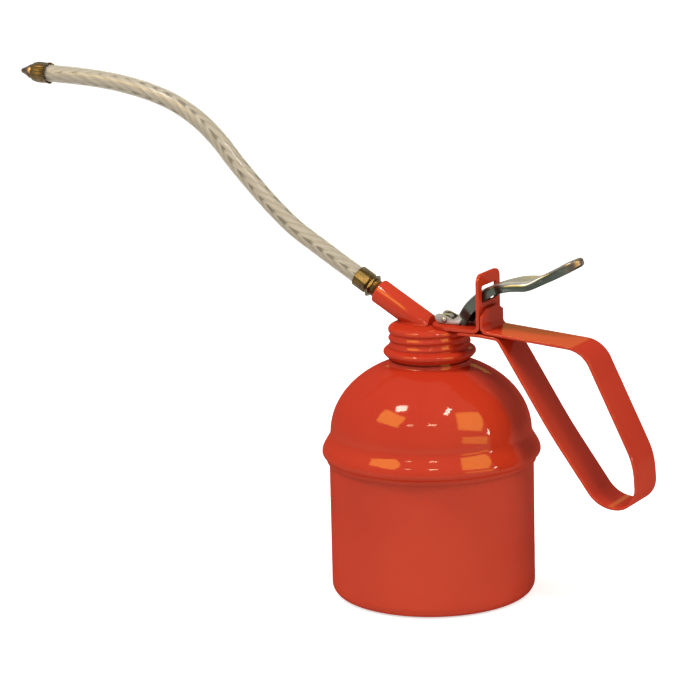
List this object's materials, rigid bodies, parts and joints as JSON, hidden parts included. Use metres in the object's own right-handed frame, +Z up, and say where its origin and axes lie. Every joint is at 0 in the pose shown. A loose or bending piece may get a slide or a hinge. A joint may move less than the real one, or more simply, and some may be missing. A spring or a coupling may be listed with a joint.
{
  "type": "thumb-lever pump oil can",
  "caption": "Hand pump oil can with a round steel reservoir, screw cap, strap handle, thumb lever and a flexible braided hose spout ending in a brass nozzle.",
  "frame": {"origin": "centre of the can's flat base, on the can's axis", "axes": "+Z up along the can's axis, +X towards the handle and thumb lever, spout towards -X, lever works in the XZ plane"},
  "size_m": [0.3074, 0.094, 0.2211],
  "materials": {
    "enamel": "glossy orange-red enamel on pressed steel",
    "plated_steel": "worn bright plating",
    "brass": "aged, slightly dull brass",
    "braided_hose": "clear plastic over a pale woven braid",
    "rubber": "matte black"
  },
  "bodies": {
    "can": {"can_cup": "enamel", "can_dome": "enamel", "can_neck": "enamel"},
    "gasket": {"cap_gasket": "rubber"},
    "head": {"screw_cap": "enamel", "spout_socket": "enamel", "lever_bracket": "enamel", "handle_strap": "enamel", "return_spring": "plated_steel", "pump_head": "brass", "gland_packing": "rubber", "pump_cylinder": "plated_steel", "ball_stop_pin": "plated_steel", "foot_valve_seat": "brass", "suction_tube": "plated_steel", "strainer": "brass", "spout_bush": "brass", "lock_nut": "brass", "base_ferrule": "brass", "hose": "braided_hose", "tip_ferrule": "brass", "nozzle": "brass"},
    "lever": {"lever": "plated_steel", "lever_pin": "plated_steel"},
    "plunger": {"piston_rod": "plated_steel", "piston": "brass", "piston_seal": "rubber"},
    "piston_valve": {"piston_valve_ball": "plated_steel"},
    "foot_valve": {"foot_valve_ball": "plated_steel"},
    "delivery_valve": {"delivery_valve_ball": "plated_steel"}
  },
  "joints": [
    {"name": "cap_rise", "type": "slide", "parent": "can", "child": "gasket", "axis": [0, 0, 1], "range_m": [0, 0.01035]},
    {"name": "cap_turn", "type": "hinge", "parent": "gasket", "child": "head", "pos_m": [0, 0, 0.11], "axis": [0, 0, 1], "range_deg": [0, 1080]},
    {"name": "lever_rock", "type": "hinge", "parent": "head", "child": "lever", "pos_m": [0.0282, 0, 0.1308], "axis": [0, 1, 0], "range_deg": [0, 25], "stiffness_Nm_per_rad": 0.6, "springref_deg": -14.32},
    {"name": "plunger_stroke", "type": "slide", "parent": "head", "child": "plunger", "axis": [0, 0, 1], "range_m": [0, 0.0087], "deforming": ["return_spring"]},
    {"name": "piston_valve_lift", "type": "slide", "parent": "plunger", "child": "piston_valve", "axis": [0, 0, 1], "range_m": [0, 0.001]},
    {"name": "foot_valve_lift", "type": "slide", "parent": "head", "child": "foot_valve", "axis": [0, 0, 1], "range_m": [0, 0.0015]},
    {"name": "delivery_valve_lift", "type": "slide", "parent": "head", "child": "delivery_valve", "axis": [0, 0, 1], "range_m": [0, 0.0012]}
  ],
  "couplings": [
    {"joint": "cap_turn", "follows": "cap_rise", "rad_per_m": 1821.2},
    {"joint": "lever_rock", "follows": "plunger_stroke", "rad_per_m": 50}
  ]
}
